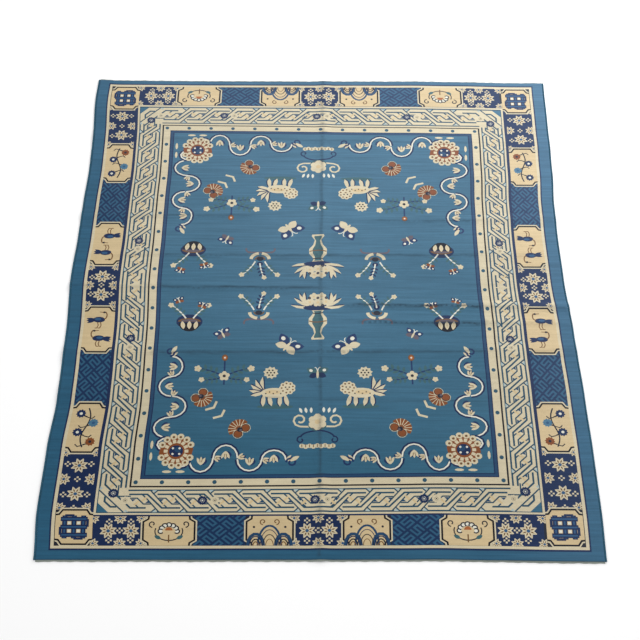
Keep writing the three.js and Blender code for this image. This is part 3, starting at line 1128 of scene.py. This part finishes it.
def make_web(name, end):
    """An end's woven strip: picks over and under, and a short fray of cut warps."""
    count = round(2 * HALF_WIDTH / (WARP_PITCH / 2))
    u = np.linspace(-HALF_WIDTH, HALF_WIDTH, count + 1)
    v = np.full(count + 1, float(HALF_LENGTH)) * end
    x, y = place(u, v, CORD_WIDTH + GAP)
    i = np.arange(count + 1)
    fray = WEB_FRAY * np.sin(2.3 * i / 9) * np.cos(0.9 * i / 9)
    low = lift(x, y)
    points, faces = [], []
    for row in range(WEB_ROWS + 1):
        share = row / WEB_ROWS
        depth = GAP + share * (WEB_DEPTH + fray - GAP)
        weave = WEAVE_HEIGHT * np.where((i + row) % 2 == 0, 1, -1) * (0 < row < WEB_ROWS)
        points.append(to_metres(x, y + end * depth, low + WEB_THICKNESS - 0.5 + weave - 0.5 * share ** 4))
    for row in range(WEB_ROWS, -1, -1):
        share = row / WEB_ROWS
        depth = GAP + share * (WEB_DEPTH + fray - GAP)
        points.append(to_metres(x, y + end * depth, low + WEB_UNDERSIDE))
    points = np.stack(points, 1)
    rows = points.shape[1]
    points = points.reshape(-1, 3)
    for k in range(count):
        for row in range(rows):
            a, b = k * rows + row, k * rows + (row + 1) % rows
            quad = [a, a + rows, b + rows, b]
            faces.append(quad if end > 0 else quad[::-1])
    cap = list(range(rows))
    far_cap = [count * rows + r for r in range(rows)]
    faces += [cap, far_cap[::-1]] if end > 0 else [cap[::-1], far_cap]
    return mesh_object(name, points, faces)


# ------------------------------------------------------------------ materials
class Nodes:
    """Small helper that adds and links shader nodes."""

    def __init__(self, name):
        self.material = bpy.data.materials.new(name)
        self.material.use_nodes = True
        self.tree = self.material.node_tree
        self.shader = self.tree.nodes["Principled BSDF"]

    def add(self, kind, settings=None, **inputs):
        node = self.tree.nodes.new(kind)
        for key, value in (settings or {}).items():
            setattr(node, key, value)
        for key, value in inputs.items():
            socket = int(key[1:]) if key[1:].isdigit() else key.replace("_", " ")
            self.put(node.inputs[socket], value)
        return node

    def put(self, socket, value):
        if isinstance(value, bpy.types.NodeSocket):
            self.tree.links.new(value, socket)
        else:
            socket.default_value = value

    def math(self, operation, a, b=0.0):
        return self.add("ShaderNodeMath", {"operation": operation}, i0=a, i1=b).outputs[0]

    def noise(self, scale, stretch=(1, 1, 1), detail=3.0, rough=0.55):
        place_in = self.add("ShaderNodeTexCoord").outputs["Object"]
        mapped = self.add("ShaderNodeMapping", Vector=place_in, Scale=stretch).outputs[0]
        return self.add("ShaderNodeTexNoise", None, Vector=mapped, Scale=scale, Detail=detail,
                        Roughness=rough).outputs[0]

    def around(self, value, amount):
        """1 + amount * (value - 0.5) * 2"""
        return self.math("ADD", self.math("MULTIPLY", self.math("SUBTRACT", value, 0.5), 2 * amount), 1.0)


KNOT_ACROSS, KNOT_ALONG = 2.71 * MM, 3.26 * MM
# Painted shade: the dark colour that the creases are mixed towards.
CREASE_SHADE_COLOUR = (0.016, 0.030, 0.045, 1)
SHEEN_AND_FADE_TINT = (0.056, 0.067, 0.084)     # what full fading and painted bluish sheen add to a dye that takes it all
SHEEN_AND_FADE_LEAST = 0.35                     # how much of that a dye that never streaks still takes
LIGHT_AND_FADE_GAIN = 0.18                      # how much lighter full fading and painted far-right light make a dye by itself


def wool(name, streaks, bump, fade_and_painted_light=True):
    """Dyed wool pile: streaked dye, tufts in rows, fibres, painted light and bluish sheen with real fading
    across it, and painted shade along the creases.
    """
    n = Nodes(name)
    yarn = n.add("ShaderNodeAttribute", {"attribute_name": "yarn"})
    abrash = n.noise(1.0, (3.0, 90, 1), 4, 0.6)
    broad = n.noise(1.3, (0.5, 2.2, 1), 2, 0.5)
    patchy = n.noise(22.0, (1, 1, 1), 3, 0.6)
    fibre = n.noise(620.0, (1, 0.8, 1), 2, 0.6)
    strength = n.math("MULTIPLY", yarn.outputs["Alpha"], streaks)
    streak = n.math("MULTIPLY", n.math("SUBTRACT", abrash, 0.5), n.math("MULTIPLY", strength, 0.7))
    tone = n.math("ADD", streak, 1.0)
    tone = n.math("MULTIPLY", tone, n.around(broad, 0.16))
    tone = n.math("MULTIPLY", tone, n.around(patchy, 0.07))
    tone = n.math("MULTIPLY", tone, n.around(fibre, 0.22))
    colour = n.add("ShaderNodeVectorMath", {"operation": "SCALE"}, i0=yarn.outputs["Color"])
    n.put(colour.inputs["Scale"], tone)
    result = colour.outputs[0]
    if fade_and_painted_light:
        # Painted light and sheen with real fading: lighter and hazed bluish towards the far right.
        fade_light_sheen = n.add("ShaderNodeAttribute", {"attribute_name": "fade_light_sheen"}).outputs["Fac"]
        patch = n.math("MULTIPLY", fade_light_sheen, n.around(abrash, 0.35))
        gain = n.math("ADD", n.math("MULTIPLY", patch, LIGHT_AND_FADE_GAIN), 1.0)
        n.put(colour.inputs["Scale"], n.math("MULTIPLY", tone, gain))
        takes = n.math("ADD", n.math("MULTIPLY", yarn.outputs["Alpha"], 1 - SHEEN_AND_FADE_LEAST), SHEEN_AND_FADE_LEAST)
        sheen_and_fade = n.add("ShaderNodeVectorMath", {"operation": "SCALE"}, i0=SHEEN_AND_FADE_TINT)
        n.put(sheen_and_fade.inputs["Scale"], n.math("MULTIPLY", patch, takes))
        result = n.add("ShaderNodeVectorMath", {"operation": "ADD"}, i0=result, i1=sheen_and_fade.outputs[0]).outputs[0]
        # Painted shade: the wool is darkened raggedly towards a dark blue along the creases.
        crease = n.add("ShaderNodeAttribute", {"attribute_name": "crease"}).outputs["Fac"]
        ragged = n.noise(30.0, (0.5, 2.5, 1), 3, 0.6)
        shade_amount = n.math("MULTIPLY", crease, n.math("ADD", n.math("MULTIPLY", ragged, 1.7), -0.05))
        crease_shading = n.add("ShaderNodeMix", {"data_type": "RGBA", "clamp_factor": True})
        n.put(crease_shading.inputs[0], shade_amount)
        n.put(crease_shading.inputs[6], result)
        n.put(crease_shading.inputs[7], CREASE_SHADE_COLOUR)
        result = crease_shading.outputs[2]
    n.put(n.shader.inputs["Base Color"], result)
    n.shader.inputs["Roughness"].default_value = 0.95
    n.shader.inputs["Specular IOR Level"].default_value = 0.15
    n.shader.inputs["Sheen Weight"].default_value = 0.06 if fade_and_painted_light else 0.0
    n.shader.inputs["Sheen Roughness"].default_value = 0.55
    n.shader.inputs["Sheen Tint"].default_value = (0.80, 0.88, 1.0, 1)
    place_in = n.add("ShaderNodeTexCoord").outputs["Object"]
    split = n.add("ShaderNodeSeparateXYZ", None, i0=place_in)
    row = n.math("SINE", n.math("MULTIPLY", split.outputs[1], 2 * math.pi / KNOT_ALONG))
    column = n.math("SINE", n.math("MULTIPLY", split.outputs[0], 2 * math.pi / KNOT_ACROSS))
    tufts = n.math("ADD", n.math("MULTIPLY", row, 0.30), n.math("MULTIPLY", column, 0.16))
    height = n.math("ADD", tufts, n.math("MULTIPLY", n.noise(160.0, (1, 2.0, 1), 3, 0.6), 1.8))
    waves = n.noise(1.0, (3, 17, 1), 2, 0.5)
    rumple = n.add("ShaderNodeBump", None, Strength=0.6, Distance=0.006, Height=waves).outputs[0]
    relief = n.add("ShaderNodeBump", None, Strength=bump, Distance=0.0012, Height=height, Normal=rumple)
    n.put(n.shader.inputs["Normal"], relief.outputs[0])
    return n.material


def plain_yarn(name, code, ribs, vary=0.25):
    """Undyed or one-colour yarn with ribs across it."""
    n = Nodes(name)
    broad, fine = n.noise(9.0, (1, 1, 1), 3), n.noise(500.0, (1, 1, 1), 2)
    tone = n.math("MULTIPLY", n.around(broad, vary), n.around(fine, 0.2))
    colour = n.add("ShaderNodeVectorMath", {"operation": "SCALE"}, i0=linear(code))
    n.put(colour.inputs["Scale"], tone)
    n.put(n.shader.inputs["Base Color"], colour.outputs[0])
    n.shader.inputs["Roughness"].default_value = 0.92
    n.shader.inputs["Specular IOR Level"].default_value = 0.2
    if ribs:
        relief = n.add("ShaderNodeBump", None, Strength=0.6, Distance=0.0008, Height=n.noise(700.0, ribs, 2))
        n.put(n.shader.inputs["Normal"], relief.outputs[0])
    return n.material


# ------------------------------------------------------------------ the rug
borders()
field()
pile, back = make_rug()
cords = [make_cord("overcast_left", -1), make_cord("overcast_right", 1)]
webs = [make_web("fringe_web_near", -1), make_web("fringe_web_far", 1)]

pile.data.materials.append(wool("pile_wool", 1.0, 0.5))
back.data.materials.append(wool("back_knots", 0.5, 0.35, fade_and_painted_light=False))
cord_yarn = plain_yarn("cord_yarn", 0x2A5468, (1, 1, 1), 0.5)
web_yarn = plain_yarn("web_yarn", 0x8A918A, (1, 3, 1))
for piece in cords:
    piece.data.materials.append(cord_yarn)
for piece in webs:
    piece.data.materials.append(web_yarn)

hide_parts("pile_sheet")
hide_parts("pile_sheet")
for piece, node in zip(cords + webs, ("side_cord_left", "side_cord_right", "end_web_near", "end_web_far")):
    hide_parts(node)
for piece in [pile, back] + cords + webs:
    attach(piece, "root")

# ------------------------------------------------------------------ floor, light and camera
FLOOR_HALF = 14.0              # metres
FLOOR_DROP = 0.0005
corner_signs = ((-1, -1), (1, -1), (1, 1), (-1, 1))
floor_corners = [(x * FLOOR_HALF, y * FLOOR_HALF, -FLOOR_DROP) for x, y in corner_signs]
floor = mesh_object("studio_floor", floor_corners, [(0, 1, 2, 3)])
pale = Nodes("pale_floor")
pale.shader.inputs["Base Color"].default_value = (0.92, 0.92, 0.92, 1)
pale.shader.inputs["Roughness"].default_value = 0.9
floor.data.materials.append(pale.material)

world = bpy.data.worlds.new("studio")
bpy.context.scene.world = world
world.use_nodes = True
world.node_tree.nodes["Background"].inputs["Color"].default_value = (1.0, 1.0, 1.0, 1)
world.node_tree.nodes["Background"].inputs["Strength"].default_value = 0.80


def soft_light(name, spot, aim, size, power, colour=(1, 1, 1)):
    lamp = bpy.data.lights.new(name, "AREA")
    lamp.shape, lamp.size, lamp.energy, lamp.color = "SQUARE", size, power, colour
    holder = bpy.data.objects.new(name, lamp)
    holder.location = spot
    holder.rotation_euler = (Vector(aim) - Vector(spot)).to_track_quat("-Z", "Y").to_euler()
    bpy.context.scene.collection.objects.link(holder)


soft_light("far_right_window", (2.6, 3.6, 2.6), (0.2, 0.2, 0), 2.4, 150)
soft_light("overhead", (0.0, 0.0, 5.5), (0, 0, 0), 5.0, 60)

CAMERA_SPOT = (-21, -4193, 5480)       # mm, in the unshifted frame of the design
CAMERA_PITCH, CAMERA_YAW, CAMERA_ROLL = 53.77, 0.3, 0.53
PHOTO_SIZE = 640                       # pixels
CAMERA_FOCUS = 1388.7                  # focal length in pixels of that frame
pitch, yaw, roll = (math.radians(a) for a in (CAMERA_PITCH, CAMERA_YAW, CAMERA_ROLL))
ahead = Vector((math.sin(yaw) * math.cos(pitch), math.cos(yaw) * math.cos(pitch), -math.sin(pitch)))
right = Vector((math.cos(yaw), -math.sin(yaw), 0))
up = right.cross(ahead)
right, up = right * math.cos(roll) + up * math.sin(roll), up * math.cos(roll) - right * math.sin(roll)
lens = bpy.data.cameras.new("photo_view")
lens.sensor_width = 36
lens.lens = CAMERA_FOCUS / PHOTO_SIZE * lens.sensor_width
lens.clip_end = 100
camera = bpy.data.objects.new("photo_view", lens)
turn = Matrix((right, up, -ahead)).transposed().to_4x4()
spot = to_metres(*(np.array([float(c)]) for c in CAMERA_SPOT))[0]
camera.matrix_world = Matrix.Translation(Vector(spot.tolist())) @ turn
bpy.context.scene.collection.objects.link(camera)
bpy.context.scene.camera = camera
bpy.context.scene.view_settings.view_transform = "Standard"
